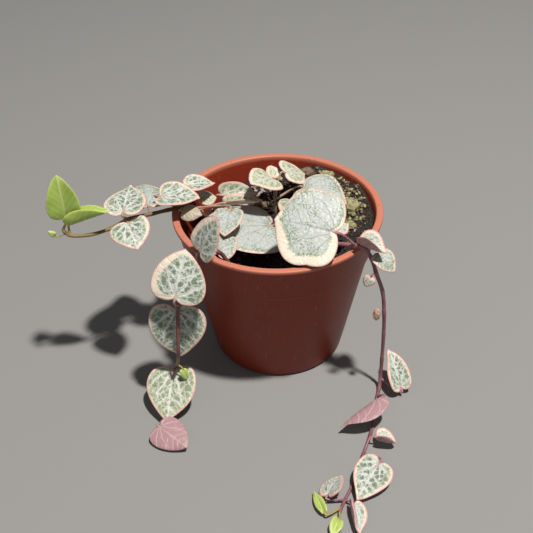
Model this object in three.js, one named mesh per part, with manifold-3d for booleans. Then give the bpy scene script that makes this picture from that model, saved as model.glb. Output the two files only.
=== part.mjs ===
// Potted string of hearts: a small variegated trailing plant in a thin round nursery pot.
// Millimetres, +Z up. The origin is the centre of the pot's underside; +X is the right-hand side
// and -Y the front. One vine runs out level over the left of the rim, one hangs down at the front
// left and one at the right, and both hanging vines come to lie on the surface under the pot.

import * as THREE from "three";
import { mergeVertices } from "three/addons/utils/BufferGeometryUtils.js";
import Module from "manifold-3d";

const wasm = await Module();
wasm.setup();

// ---- driving dimensions ----
const potHeight = 48;
const rimRadius = 30; // outside of the lip
const baseRadius = 20; // outside of the underside
const potWall = 1.0;
const potFloor = 1.4;
const baseChamfer = 0.8;
const lipHeight = 1.2;
const lipProud = 0.5; // lip beyond the collar
const collarHeight = 12; // deep collar under the lip
const collarStep = 0.4; // collar beyond the wall below it
const drainHoleRadius = 2.2;
const drainHoleCount = 5;
const drainCircleRadius = 12.5;
const soilBelowRim = 7.5; // mean level of the soil under the rim
const stemRadius = 0.65;
const petioleRadius = 0.42;
const bladeThickness = 1.2;
const clearance = 0.3; // between pieces that touch on the real plant
const floorGap = 0.1; // under a stem that lies on the surface

// ---- how finely curved pieces are faceted ----
const potSides = 48;
const stemSides = 8;
const petioleSides = 5;
const bladeSides = 18; // even, so that both the tip and the notch get a corner
const bladeRings = 4;

// ---- colours and finishes ----
const finishes = {
  pot: { color: "#a3482c", roughness: 0.45, metalness: 0 },
  soil: { color: "#241c18", roughness: 1, metalness: 0 },
  perlite: { color: "#b9aba6", roughness: 0.95, metalness: 0 },
  bark: { color: "#4c3a32", roughness: 0.95, metalness: 0 },
  moss: { color: "#8f9440", roughness: 0.95, metalness: 0 },
  stem: { color: "#6d4a46", roughness: 0.6, metalness: 0 },
  leaf: { color: "#93a58f", roughness: 0.45, metalness: 0 },
  youngLeaf: { color: "#a4bf4e", roughness: 0.4, metalness: 0 },
  bud: { color: "#c9a48c", roughness: 0.6, metalness: 0 },
};
const materialOf = (finish) => new THREE.MeshStandardMaterial(finishes[finish]);

// ---- closed meshes in and out of the boolean library ----
function solidOf(geometry) {
  const bare = geometry.index ? geometry.toNonIndexed() : geometry.clone();
  bare.deleteAttribute("normal");
  bare.deleteAttribute("uv");
  const merged = mergeVertices(bare, 1e-4);
  return new wasm.Manifold(
    new wasm.Mesh({
      numProp: 3,
      vertProperties: new Float32Array(merged.attributes.position.array),
      triVerts: new Uint32Array(merged.index.array),
    }),
  );
}

function geometryOf(solid) {
  const mesh = solid.getMesh();
  const geometry = new THREE.BufferGeometry();
  geometry.setAttribute("position", new THREE.BufferAttribute(mesh.vertProperties, 3));
  geometry.setIndex(new THREE.BufferAttribute(mesh.triVerts, 1));
  geometry.computeVertexNormals();
  return geometry;
}

const object = new THREE.Group();

function addPiece(name, solid, finish) {
  const mesh = new THREE.Mesh(geometryOf(solid), materialOf(finish));
  mesh.name = name;
  object.add(mesh);
}

// ---- basic shapes ----
function ringShape(radius, sides) {
  const corners = Array.from({ length: sides }, (_, i) => {
    const turn = (i * 2 * Math.PI) / sides;
    return new THREE.Vector2(radius * Math.cos(turn), radius * Math.sin(turn));
  });
  return new THREE.Shape(corners);
}

function tube(curve, radius, sides, steps) {
  const geometry = new THREE.ExtrudeGeometry(ringShape(radius, sides), {
    steps,
    extrudePath: curve,
    bevelEnabled: false,
  });
  return solidOf(geometry);
}

const smoothCurve = (points) => new THREE.CatmullRomCurve3(points, false, "centripetal");

// The same curve, longer by the clearance at both ends, for the room around a tube.
function pastTheEnds(points) {
  const beyond = (end, before) => end.clone().addScaledVector(end.clone().sub(before).normalize(), clearance);
  const last = points.length - 1;
  const first = beyond(points[0], points[1]);
  return smoothCurve([first, ...points.slice(1, last), beyond(points[last], points[last - 1])]);
}

// ---- pot ----
const wallSlope = (rimRadius - lipProud - baseRadius) / potHeight;
const collarRadiusAt = (z) => baseRadius + wallSlope * z;
const wallRadiusAt = (z) => collarRadiusAt(z) - collarStep;
const innerRadiusAt = (z) => wallRadiusAt(z) - potWall;

function makePot() {
  const collarFoot = potHeight - collarHeight;
  const lipFoot = potHeight - lipHeight;
  const profile = [
    [0, 0],
    [wallRadiusAt(0) - baseChamfer, 0],
    [wallRadiusAt(baseChamfer), baseChamfer],
    [wallRadiusAt(collarFoot), collarFoot],
    [collarRadiusAt(collarFoot + collarStep), collarFoot + collarStep],
    [collarRadiusAt(lipFoot), lipFoot],
    [rimRadius, lipFoot],
    [rimRadius, potHeight],
    [innerRadiusAt(potHeight), potHeight],
    [innerRadiusAt(potFloor), potFloor],
    [0, potFloor],
  ].map(([radius, z]) => new THREE.Vector2(radius, z));
  let pot = solidOf(new THREE.LatheGeometry(profile, potSides).rotateX(Math.PI / 2));
  for (let i = 0; i < drainHoleCount; i++) {
    const turn = (i * 2 * Math.PI) / drainHoleCount;
    const drill = new THREE.CylinderGeometry(drainHoleRadius, drainHoleRadius, 3 * potFloor, 12);
    drill.rotateX(Math.PI / 2);
    drill.translate(drainCircleRadius * Math.cos(turn), drainCircleRadius * Math.sin(turn), potFloor / 2);
    pot = pot.subtract(solidOf(drill));
  }
  return pot;
}

// ---- soil: low at the front left, banked up at the back right, with soft lumps ----
// The bank rises across the pot in the direction of its turn (degrees round the rim); its middle
// and half width are shares of the rim's radius, and it goes from lift - rise to lift + rise.
const soilBank = { turn: 35, rise: 4.6, lift: 1.2, middle: 0.27, halfWidth: 0.3 };
const soilRipple = 0.4;
const soilSkirt = 6; // the plug's straight side ends this far below its mean level

function soilHeightAt(x, y) {
  const turn = THREE.MathUtils.degToRad(soilBank.turn);
  const reach = (x * Math.cos(turn) + y * Math.sin(turn)) / rimRadius;
  const bank = soilBank.lift + soilBank.rise * Math.tanh((reach - soilBank.middle) / soilBank.halfWidth);
  const ripple = soilRipple * (Math.sin(x * 0.55 + 1) * Math.cos(y * 0.5) + Math.sin(x * 0.21 - y * 0.33));
  return potHeight - soilBelowRim + bank + ripple;
}

function makeSoil(cutters) {
  const foot = potFloor + clearance;
  const shoulder = potHeight - soilBelowRim - soilSkirt;
  const edge = innerRadiusAt(shoulder) - clearance;
  const profile = [[0, foot], [innerRadiusAt(foot) - clearance, foot], [edge, shoulder]];
  for (const share of [1, 0.8, 0.6, 0.4, 0.2, 0]) {
    profile.push([edge * share, potHeight - soilBelowRim]);
  }
  const geometry = new THREE.LatheGeometry(
    profile.map(([radius, z]) => new THREE.Vector2(radius, z)),
    28,
  ).rotateX(Math.PI / 2);
  const points = geometry.attributes.position;
  for (let i = 0; i < points.count; i++) {
    if (points.getZ(i) < shoulder + soilSkirt / 2) continue;
    const [x, y] = [points.getX(i), points.getY(i)];
    const z = soilHeightAt(x, y);
    // the top widens with the wall, most at its outer ring and not at all in the middle
    const widening = (innerRadiusAt(z) - clearance) / edge - 1;
    const spread = 1 + widening * ((x * x + y * y) / (edge * edge));
    points.setXYZ(i, x * spread, y * spread, z);
  }
  return cutters.reduce((soil, cutter) => soil.subtract(cutter), solidOf(geometry));
}

// ---- loose lumps bedded in the soil ----
const lumpSunk = 0.35; // share of a lump's height that is under the surface
const lumps = {
  // "at" is shares of the rim's radius from the middle
  perlite_1: { at: [-0.035, 0.21], size: [2.3, 1.8, 1.6], finish: "perlite" },
  perlite_2: { at: [0.12, -0.08], size: [1.8, 1.6, 1.3], finish: "perlite" },
  perlite_3: { at: [-0.35, 0.517], size: [1.6, 1.9, 1.3], finish: "perlite" },
  bark_1: { at: [-0.153, 0.427], size: [2.3, 1.8, 1.4], finish: "bark" },
  bark_2: { at: [0.3, 0.683], size: [2.2, 1.8, 1.5], finish: "bark" },
  bark_3: { at: [-0.167, -0.717], size: [2.1, 1.5, 1.1], finish: "bark" },
  moss_1: { at: [0.717, 0.117], size: [2.3, 2.8, 1.8], finish: "moss" },
  moss_2: { at: [0.683, -0.167], size: [1.9, 1.7, 1.3], finish: "moss" },
  moss_3: { at: [0.5, 0.633], size: [2.0, 1.7, 1.3], finish: "moss" },
};

function makeLump({ at, size }, extra) {
  const [x, y] = at.map((share) => share * rimRadius);
  const geometry = new THREE.IcosahedronGeometry(1, 1);
  const points = geometry.attributes.position;
  const centreZ = soilHeightAt(x, y) + size[2] * (1 - 2 * lumpSunk);
  for (let i = 0; i < points.count; i++) {
    const [a, b, c] = [points.getX(i), points.getY(i), points.getZ(i)];
    const uneven = 1 + 0.12 * Math.sin(5 * a + x) * Math.cos(4 * b + y) + 0.08 * Math.sin(6 * c + x * y);
    points.setXYZ(
      i,
      x + a * uneven * (size[0] + extra),
      y + b * uneven * (size[1] + extra),
      centreZ + c * uneven * (size[2] + extra),
    );
  }
  return solidOf(geometry);
}

// ---- leaf blades ----
// Half outline of a heart from the tip to the notch, as shares of its length and of its width.
const heartEdge = new THREE.SplineCurve(
  [
    [1, 0],
    [0.94, 0.07],
    [0.84, 0.19],
    [0.65, 0.36],
    [0.42, 0.475],
    [0.2, 0.5],
    [0, 0.44],
    [-0.11, 0.31],
    [-0.13, 0.15],
    [-0.07, 0.04],
    [0, 0],
  ].map(([along, across]) => new THREE.Vector2(along, across)),
);
const heartMiddle = 0.35; // the rings of the blade shrink towards this point of the midrib

// A sphere pressed into a lens with a heart-shaped edge, then folded and curled like a sheet.
function bladeGeometry({ length, width, fold = 0, curl = 0 }) {
  const geometry = new THREE.SphereGeometry(1, bladeSides, bladeRings);
  const foldAngle = THREE.MathUtils.degToRad(fold) || 1e-6;
  const curlAngle = THREE.MathUtils.degToRad(curl) || 1e-6;
  const crease = width * 0.18; // half of the strip over which the midrib bends
  const points = geometry.attributes.position;
  for (let i = 0; i < points.count; i++) {
    const [x, lift, z] = [points.getX(i), points.getY(i), -points.getZ(i)];
    const reach = Math.hypot(x, z);
    const edge = heartEdge.getPoint(Math.min(Math.abs(Math.atan2(z, x)) / Math.PI, 1));
    const along = length * (heartMiddle + (edge.x - heartMiddle) * reach);
    const across = width * edge.y * reach;
    const height = (lift * bladeThickness) / 2;

    // fold: the strip beside the midrib bends, and the rest of each half stays flat
    const bend = (foldAngle * Math.min(across, crease)) / crease;
    const beyond = Math.max(across - crease, 0);
    const bendRadius = crease / foldAngle;
    const side = bendRadius * Math.sin(bend) + beyond * Math.cos(foldAngle) - height * Math.sin(bend);
    const up = bendRadius * (1 - Math.cos(bend)) + beyond * Math.sin(foldAngle) + height * Math.cos(bend);

    // curl: the midrib is an arc
    const turn = (curlAngle * along) / length;
    const curlRadius = length / curlAngle;
    points.setXYZ(
      i,
      (curlRadius - up) * Math.sin(turn),
      Math.sign(z) * side,
      curlRadius - (curlRadius - up) * Math.cos(turn),
    );
  }
  return geometry;
}

// ---- vines: stems and the leaves on them ----
// A vine's points outside the pot are measured from the place where it crosses the rim: "rim"
// points from the top of the lip there, "floor" points from the surface below it. Points inside the
// pot are shares of the rim's radius from the middle, at a height above the top of the lip ("mouth")
// or above the mean level of the soil ("ground"). A leaf goes from its notch to its tip, "breadth"
// is its width as a share of that length, "face" is the way its upper side looks, and its stalk
// joins the stem at the numbered point of the route, or ends at a foot of its own.
const mouth = (x, y, z) => ({ x, y, z, from: "mouth" });
const ground = (x, y, z) => ({ x, y, z, from: "ground" });
const rim = (x, y, z) => ({ x, y, z, from: "rim" });
const floor = (x, y, z = stemRadius + floorGap) => ({ x, y, z, from: "floor" });
const levels = { mouth: potHeight, ground: potHeight - soilBelowRim, rim: potHeight, floor: 0 };

function placed(crossing, { x, y, z, from }) {
  const inPot = from === "mouth" || from === "ground";
  const turn = THREE.MathUtils.degToRad(crossing);
  const start = inPot ? [0, 0] : [rimRadius * Math.cos(turn), rimRadius * Math.sin(turn)];
  const scale = inPot ? rimRadius : 1;
  return new THREE.Vector3(start[0] + x * scale, start[1] + y * scale, levels[from] + z);
}

const vines = {
  runner: {
    crossing: 184, // degrees round the rim
    steps: 20,
    route: [
      ground(-0.464, 0.147, -5.6),
      mouth(-0.698, 0.084, -4.6),
      mouth(-0.851, 0.004, 0.4),
      rim(-0.8, -0.4, 1.15),
      rim(-5.5, -2.6, 1.3),
      rim(-11.5, -5, 1.4),
      rim(-15.5, -9.2, 1.4),
      rim(-21, -12.1, 1.3),
      rim(-26.3, -12.8, 1.7),
      rim(-28, -12.6, 3.2),
    ],
    leaves: {
      upright_leaf: {
        node: 9, notch: rim(-26.6, -11.8, 8), tip: rim(-27.4, -10.8, 19.6),
        breadth: 0.81, face: [0.15, -0.9, 0.4], fold: 18, finish: "youngLeaf",
      },
      folded_leaf: {
        node: 8, notch: rim(-25.1, -12.2, 5.4), tip: rim(-14.9, -12.2, 10.2),
        breadth: 0.71, face: [-0.3, 0.35, 0.9], fold: 62, curl: -10, finish: "youngLeaf",
      },
      leaf_1: {
        node: 6, notch: rim(-10.7, -9.8, 3.1), tip: rim(-7.4, -18, 1.1),
        breadth: 1.26, face: [-0.1, -0.35, 0.93], fold: 8, curl: -12,
      },
      leaf_2: {
        node: 5, notch: rim(-12, -8, 5.8), tip: rim(-11.4, 4.2, 6.4),
        breadth: 0.98, face: [-0.05, -0.25, 0.96], fold: 6,
      },
      leaf_3: {
        node: 4, notch: rim(-6.4, -0.4, 2.9), tip: rim(-9.2, 10.2, 3.3),
        breadth: 1.06, face: [0.05, -0.2, 0.97], fold: 0,
      },
      leaf_4: {
        foot: mouth(-0.931, -0.036, 0.8), notch: rim(-2.2, -0.4, 5.7), tip: mouth(-0.701, -0.123, 5.7),
        breadth: 0.99, face: [0, -0.05, 1], fold: 16,
      },
      leaf_5: {
        node: 2, notch: mouth(-0.854, 0.164, 4.4), tip: mouth(-0.598, 0.237, 3.8),
        breadth: 1, face: [0, -0.1, 1], fold: 18,
      },
      leaf_6: {
        node: 1, notch: ground(-0.731, 0.21, 6.5), tip: ground(-0.591, 0.257, 5.7),
        breadth: 1.33, face: [0.1, -0.3, 0.95], fold: 5,
      },
      leaf_7: {
        node: 2, notch: mouth(-0.864, -0.156, 2.1), tip: mouth(-0.698, -0.203, 1.6),
        breadth: 1.05, face: [0, 0.45, -0.9], fold: 10,
      },
      leaf_8: {
        foot: ground(-0.648, 0.38, -4.8), notch: ground(-0.531, 0.337, 5.1), tip: ground(-0.188, 0.35, 5.2),
        breadth: 0.82, face: [0, -0.25, 1], fold: 60, rooted: true,
      },
      leaf_9: {
        foot: ground(-0.764, 0.047, 5.7), notch: ground(-0.478, 0.144, 6.3), tip: ground(-0.138, 0.19, 6.2),
        breadth: 0.49, face: [0, -0.2, 1], fold: 66,
      },
      leaf_10: {
        foot: mouth(-0.811, 0.02, -0.4), notch: mouth(-0.448, -0.123, 1.3), tip: mouth(-0.484, -0.463, 0),
        breadth: 0.83, face: [0, -0.35, 0.94], fold: 6,
      },
      bud: {
        foot: rim(-27.2, -12.7, 2.3), notch: rim(-30.3, -13.2, 2.2), tip: rim(-31.8, -13.4, 3.6),
        breadth: 0.87, face: [0, -0.9, 0.3], fold: 20, finish: "youngLeaf",
      },
    },
  },

  front_vine: {
    crossing: 227, // degrees round the rim
    steps: 26,
    route: [
      ground(-0.332, -0.678, -5.6),
      mouth(-0.429, -0.705, -4.4),
      mouth(-0.529, -0.711, 0.4),
      rim(-0.3, -0.4, 1.15),
      rim(-1.4, -1.4, -2),
      rim(-2.9, -2.4, -6),
      rim(-6.4, -5.2, -13),
      rim(-7, -7.3, -20.1),
      rim(-7.4, -8.9, -27.8),
      floor(-8.4, -6.4, 14),
      floor(-9.4, -2.4, 9.6),
      floor(-9.7, -1, 6),
      floor(-9.8, -0.9, 3),
      floor(-9.7, -2.4, 1.1),
      floor(-9.6, -5.4),
      floor(-9.4, -11),
      floor(-9.4, -18.8),
    ],
    leaves: {
      leaf_1: {
        node: 6, notch: rim(-6.7, -7.8, -7.9), tip: rim(-3.9, -0.3, 2.3),
        breadth: 1.19, face: [-0.12, -0.79, 0.6], fold: -5,
      },
      leaf_2: {
        node: 6, notch: rim(-7.5, -3.6, -16.3), tip: rim(-7.4, -7, -30.7),
        breadth: 1.07, face: [0, -0.96, 0.25], fold: 5,
      },
      leaf_3: {
        node: 9, notch: floor(-10, -5, 9.4), tip: floor(-11.2, -17.4, 2.4),
        breadth: 1.02, face: [-0.05, -0.5, 0.86], fold: 5,
      },
      leaf_4: {
        node: 16, notch: floor(-12.8, -20.4, 3.2), tip: floor(-4.8, -26.8, 2),
        breadth: 0.93, face: [0.15, 0.3, -0.93], fold: 6,
      },
      leaf_5: {
        node: 3, notch: rim(0.4, -1.8, 3), tip: rim(5.7, -2, 13.4),
        breadth: 0.92, face: [-0.73, -0.58, 0.36], fold: 6,
      },
      leaf_6: {
        node: 1, notch: mouth(-0.542, -0.558, -3.2), tip: mouth(-0.382, -0.351, -2.6),
        breadth: 0.89, face: [0.3, -0.45, 0.85], fold: 12,
      },
      bud: {
        node: 9, notch: floor(-6.8, -7.4, 12.6), tip: floor(-6, -8, 9.2),
        breadth: 0.68, face: [0.3, -0.9, 0.3], fold: 20, finish: "youngLeaf",
      },
    },
  },

  side_vine: {
    crossing: 317, // degrees round the rim
    steps: 26,
    route: [
      ground(0.215, -0.249, -4.4),
      mouth(0.381, -0.465, -3),
      mouth(0.571, -0.649, 1),
      mouth(0.685, -0.689, 1.4),
      rim(0.8, -0.9, 1.3),
      rim(2.8, -2, -1.5),
      rim(4.4, -2.3, -6.5),
      rim(6.4, -2.6, -12.5),
      rim(7.3, -2.8, -20),
      rim(7.7, -2.8, -28),
      floor(7.8, -3, 10),
      floor(7.7, -3.7, 3.4),
      floor(7.4, -5.4, 1.2),
      floor(6.6, -8.4),
      floor(5, -16),
      floor(3.2, -23),
      floor(0.6, -30),
      floor(-3, -40),
      floor(-5.4, -45),
      floor(-7, -48.8),
    ],
    leaves: {
      leaf_1: {
        node: 3, notch: mouth(0.485, -0.735, 6.8), tip: mouth(-0.029, -0.589, 8.2),
        breadth: 1.31, face: [-0.1, -0.6, 0.79], fold: 0,
      },
      leaf_2: {
        node: 4, notch: rim(-0.1, -1.0, 3.2), tip: rim(6.3, -4.3, 2.0),
        breadth: 1.2, face: [0.1, 0.15, 0.98], fold: 58,
      },
      leaf_3: {
        node: 5, notch: rim(4.7, -1.2, -1.2), tip: rim(8.9, -4.6, -4.4),
        breadth: 1.15, face: [0.35, -0.4, 0.85], fold: 14,
      },
      leaf_4: {
        node: 6, notch: rim(2.6, -5, -5.6), tip: rim(1.2, -5.5, -8.4),
        breadth: 1.07, face: [0, -0.8, 0.6], fold: 10,
      },
      leaf_5: {
        node: 11, notch: floor(13.2, -6.6, 2.8), tip: floor(10.2, 1.4, 10.2),
        breadth: 0.74, face: [0.4, -0.72, 0.57], fold: 30,
      },
      leaf_6: {
        node: 13, notch: floor(5.8, -15.4, 6.6), tip: floor(-5.2, -22.4, 3.4),
        breadth: 0.74, face: [-0.2, -0.72, -0.66], fold: 42,
      },
      leaf_7: {
        node: 16, notch: floor(4.8, -26.4, 3.2), tip: floor(10, -27.2, 2.4),
        breadth: 1.24, face: [0, 0.3, 1], fold: 55,
      },
      leaf_8: {
        node: 16, notch: floor(4.2, -35, 2.6), tip: floor(-2.4, -45.8, 2.2),
        breadth: 0.82, face: [0.1, -0.2, 0.97], fold: 12,
      },
      leaf_9: {
        node: 18, notch: floor(-9.6, -44.2, 2.2), tip: floor(-5.8, -38.6, 3.2),
        breadth: 1.17, face: [-0.2, 0.6, 0.75], fold: 10,
      },
      leaf_10: {
        node: 18, notch: floor(-3.4, -47.4, 1.9), tip: floor(-2.4, -56, 1.6),
        breadth: 0.74, face: [0.6, 0, 0.8], fold: 46,
      },
      young_leaf_1: {
        node: 19, notch: floor(-7.6, -51.8, 1.6), tip: floor(-9.6, -56.4, 1.2),
        breadth: 0.72, face: [0.2, 0, 1], fold: 30, finish: "youngLeaf",
      },
      young_leaf_2: {
        foot: floor(-6.4, -47.2), notch: floor(-11, -48.6, 1.4), tip: floor(-13.4, -42.6, 1.4),
        breadth: 0.46, face: [-0.3, -0.2, 0.9], fold: 35, finish: "youngLeaf",
      },
    },
  },

  crown_vine: {
    crossing: null, // it stays inside the rim
    steps: 9,
    route: [
      ground(0.053, 0.08, -3.8),
      ground(0.007, 0.12, 1.5),
      ground(-0.02, 0.207, 6),
      ground(-0.02, 0.273, 9.5),
    ],
    leaves: {
      leaf_1: {
        node: 1, notch: ground(-0.09, -0.04, 1.9), tip: ground(-0.76, -0.235, 4.2),
        breadth: 1.2, face: [0.03, 0.02, 1], fold: -4, curl: 6,
      },
      leaf_2: {
        node: 3, notch: ground(-0.053, 0.258, 12), tip: ground(-0.248, 0.038, 14.7),
        breadth: 1.15, face: [0.39, 0.03, 0.92], fold: 4,
      },
      leaf_3: {
        foot: ground(-0.02, 0.487, -0.5), notch: ground(-0.038, 0.38, 10.2), tip: ground(-0.07, 0.525, 11.8),
        breadth: 1.05, face: [0.3, -0.35, 0.87], fold: 30, rooted: true,
      },
      leaf_4: {
        node: 2, notch: ground(0.085, 0.358, 12.1), tip: ground(0.278, 0.512, 8.6),
        breadth: 1.23, face: [0.54, -0.03, 0.84], fold: 6,
      },
      leaf_5: {
        node: 2, notch: ground(0.27, 0.24, 9), tip: ground(0.66, -0.005, 8.4),
        breadth: 1.1, face: [-0.09, -0.22, 0.97], fold: -4,
      },
      leaf_6: {
        node: 1, notch: ground(0.153, 0.213, 4.6), tip: ground(0.087, -0.047, 4.1),
        breadth: 0.99, face: [0.1, -0.2, 0.97], fold: 10,
      },
      leaf_7: {
        foot: ground(0.463, -0.36, -1.8), notch: ground(0.54, -0.44, 8.6), tip: ground(0.65, -0.35, 8.6),
        breadth: 1.14, face: [0.1, -0.3, 0.95], fold: 5, rooted: true,
      },
    },
  },
};

// A leaf with its stalk: the stalk leaves the notch in line with the midrib and bends to the stem,
// where it stops short all round, or it is rooted and runs down into the soil on its own.
function makeLeaf({ crossing, nodes, sleeve }, leaf) {
  const notch = placed(crossing, leaf.notch);
  const tip = placed(crossing, leaf.tip);
  const forward = tip.clone().sub(notch);
  const length = forward.length();
  forward.normalize();
  const up = new THREE.Vector3(...leaf.face);
  up.addScaledVector(forward, -up.dot(forward)).normalize();
  const side = up.clone().cross(forward);
  const stand = new THREE.Matrix4().makeBasis(forward, side, up).setPosition(notch);
  const blade = solidOf(bladeGeometry({ ...leaf, length, width: length * leaf.breadth }).applyMatrix4(stand));

  const foot = leaf.foot ? placed(crossing, leaf.foot) : nodes[leaf.node];
  const reach = foot.distanceTo(notch);
  const bow = notch.clone().addScaledVector(forward, -Math.min(reach * 0.3, 2));
  const root = notch.clone().addScaledVector(forward, length * 0.12);
  const curve = smoothCurve([root, notch, bow, foot]);
  const stalk = tube(curve, petioleRadius, petioleSides, 4).subtract(sleeve);
  const bed = leaf.rooted ? tube(pastTheEnds(curve.points), petioleRadius + clearance, petioleSides, 4) : null;
  return { solid: blade.add(stalk), bed };
}

// ---- the stem's swollen joint half way down the side vine ----
const budSize = [1.1, 0.9, 2];
const budOffset = [-2.1, -0.7, 0];

function makeStemBud(node) {
  const geometry = new THREE.SphereGeometry(1, 8, 5).rotateX(Math.PI / 2).scale(...budSize);
  return solidOf(geometry.translate(node.x + budOffset[0], node.y + budOffset[1], node.z + budOffset[2]));
}

// ---- assembly ----
addPiece("pot", makePot(), "pot");

const beds = []; // what the soil makes room for
for (const [vineName, vine] of Object.entries(vines)) {
  const nodes = vine.route.map((p) => placed(vine.crossing, p));
  const sleeve = tube(pastTheEnds(nodes), stemRadius + clearance, stemSides, vine.steps);
  addPiece(`${vineName}_stem`, tube(smoothCurve(nodes), stemRadius, stemSides, vine.steps), "stem");
  beds.push(sleeve);
  for (const [leafName, leaf] of Object.entries(vine.leaves)) {
    const { solid, bed } = makeLeaf({ crossing: vine.crossing, nodes, sleeve }, leaf);
    addPiece(`${vineName}_${leafName}`, solid, leaf.finish ?? "leaf");
    if (bed) beds.push(bed);
  }
  if (vineName === "side_vine") addPiece("side_vine_bud", makeStemBud(nodes[8]), "bud");
}

for (const [name, lump] of Object.entries(lumps)) {
  addPiece(name, makeLump(lump, 0), lump.finish);
  beds.push(makeLump(lump, clearance));
}
addPiece("soil", makeSoil(beds), "soil");

export default object;
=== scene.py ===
# Potted string of hearts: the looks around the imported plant, its pot and its soil. Metres, +Z up.
import math
import random
from functools import partial

import bmesh
import bpy
from mathutils import Matrix, Vector, noise


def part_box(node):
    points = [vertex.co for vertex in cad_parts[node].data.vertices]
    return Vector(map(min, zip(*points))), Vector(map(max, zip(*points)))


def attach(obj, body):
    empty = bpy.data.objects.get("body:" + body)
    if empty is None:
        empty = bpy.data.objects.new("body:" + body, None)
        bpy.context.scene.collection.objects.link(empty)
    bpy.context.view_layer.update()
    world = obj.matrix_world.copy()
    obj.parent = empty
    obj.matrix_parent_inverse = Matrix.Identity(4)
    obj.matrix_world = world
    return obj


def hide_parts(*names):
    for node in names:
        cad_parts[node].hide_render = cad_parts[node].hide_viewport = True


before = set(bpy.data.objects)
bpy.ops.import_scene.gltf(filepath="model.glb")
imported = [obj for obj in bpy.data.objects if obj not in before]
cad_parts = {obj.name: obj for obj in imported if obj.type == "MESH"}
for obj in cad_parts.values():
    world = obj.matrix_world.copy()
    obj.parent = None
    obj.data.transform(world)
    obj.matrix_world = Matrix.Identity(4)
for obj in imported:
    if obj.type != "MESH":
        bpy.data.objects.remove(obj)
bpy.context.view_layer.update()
mm = 0.001


def hexColour(text):
    channels = [int(text[i : i + 2], 16) / 255 for i in (1, 3, 5)]
    return (*[c / 12.92 if c <= 0.04045 else ((c + 0.055) / 1.055) ** 2.4 for c in channels], 1)


# Adds one shader node. Links holds sockets to join, or plain values and hex colours to set; output
# None gives all of the node's outputs.
def addNode(tree, kind, links=None, output=0, **settings):
    node = tree.nodes.new("ShaderNode" + kind)
    for name, value in settings.items():
        setattr(node, name, value)
    for socket, value in (links or {}).items():
        if isinstance(value, bpy.types.NodeSocket):
            tree.links.new(value, node.inputs[socket])
        else:
            node.inputs[socket].default_value = hexColour(value) if isinstance(value, str) else value
    return node.outputs if output is None else node.outputs[output]


inColour = dict(data_type="RGBA", output=2)  # settings of a node that mixes two colours


def newMaterial(name):
    material = bpy.data.materials.new(name)
    material.use_nodes = True
    material.node_tree.nodes.clear()
    return material, partial(addNode, material.node_tree)


# The shader at the end of every material.
def finishMaterial(material, add, surface):
    shader = add("BsdfPrincipled", surface)
    add("OutputMaterial", {"Surface": shader}, output=None)
    return material


def makePiece(name, bm, materials, replaced=()):
    bmesh.ops.recalc_face_normals(bm, faces=bm.faces)
    for face in bm.faces:
        face.smooth = True
    mesh = bpy.data.meshes.new(name)
    bm.to_mesh(mesh)
    bm.free()
    for material in materials:
        mesh.materials.append(material)
    piece = bpy.data.objects.new(name, mesh)
    bpy.context.scene.collection.objects.link(piece)
    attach(piece, "root")
    if replaced:
        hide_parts(*replaced)
    return piece


# A curve through the points, the same one as the solids follow, as a list of places.
def smoothCurve(points, steps):
    ends = [points[0] * 2 - points[1], *points, points[-1] * 2 - points[-2]]
    places = []
    for i in range(steps + 1):
        at = i / steps * (len(points) - 1)
        first = min(int(at), len(points) - 2)
        t = at - first
        p0, p1, p2, p3 = ends[first : first + 4]
        d0, d1, d2 = [math.sqrt((b - a).length) for a, b in ((p0, p1), (p1, p2), (p2, p3))]
        m1 = ((p1 - p0) / d0 - (p2 - p0) / (d0 + d1) + (p2 - p1) / d1) * d1
        m2 = ((p2 - p1) / d1 - (p3 - p1) / (d1 + d2) + (p3 - p2) / d2) * d1
        places.append(p1 + m1 * t + (3 * (p2 - p1) - 2 * m1 - m2) * t**2 + (2 * (p1 - p2) + m1 + m2) * t**3)
    return places


# A closed tube along the places, grown ring by ring; the layer gets the share of the way along it.
def sweepTube(bm, places, radii, sides, layer):
    turn = Vector((0, 0, 1)).rotation_difference(places[1] - places[0])
    before = None
    for i, (place, radius) in enumerate(zip(places, radii)):
        if 0 < i < len(places) - 1:
            tangent = (places[i + 1] - places[i - 1]).normalized()
            turn = (turn @ Vector((0, 0, 1))).rotation_difference(tangent) @ turn
        stand = Matrix.LocRotScale(place, turn, Vector((radius, radius, radius)))
        if before is None:
            disc = bmesh.ops.create_circle(bm, cap_ends=True, segments=sides, radius=1, matrix=stand)
            verts = disc["verts"]
            edges = list({edge for vert in verts for edge in vert.link_edges})
        else:
            grown = bmesh.ops.extrude_edge_only(bm, edges=edges)["geom"]
            verts = [item for item in grown if isinstance(item, bmesh.types.BMVert)]
            ring = set(verts)
            edges = [item for item in grown if isinstance(item, bmesh.types.BMEdge)]
            edges = [edge for edge in edges if set(edge.verts) <= ring]
            bmesh.ops.transform(bm, matrix=stand @ before.inverted(), verts=verts)
        for vert in verts:
            vert[layer] = i / (len(places) - 1)
        before = stand
    bmesh.ops.holes_fill(bm, edges=edges, sides=0)


potLow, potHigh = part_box("pot")
rimRadius = potHigh.x
potHeight = potHigh.z
soilBelowRim = 7.5 * mm  # mean level of the soil under the rim
stemRadius = 0.65 * mm
floorGap = 0.1 * mm  # under a stem that lies on the surface


# Places on the plant, in millimetres or in shares of the rim's radius, as the solids have them:
# mouth and ground points lie inside the pot, measured from its middle at the height of the lip or of
# the soil; rim and floor points are measured from where the vine crosses the rim.
def mouth(x, y, z):
    return lambda crossing: Vector((x * rimRadius, y * rimRadius, potHeight + z * mm))


def ground(x, y, z):
    return lambda crossing: Vector((x * rimRadius, y * rimRadius, potHeight - soilBelowRim + z * mm))


def rim(x, y, z):
    return lambda crossing: crossing + Vector((x, y, z)) * mm + Vector((0, 0, potHeight))


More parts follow.
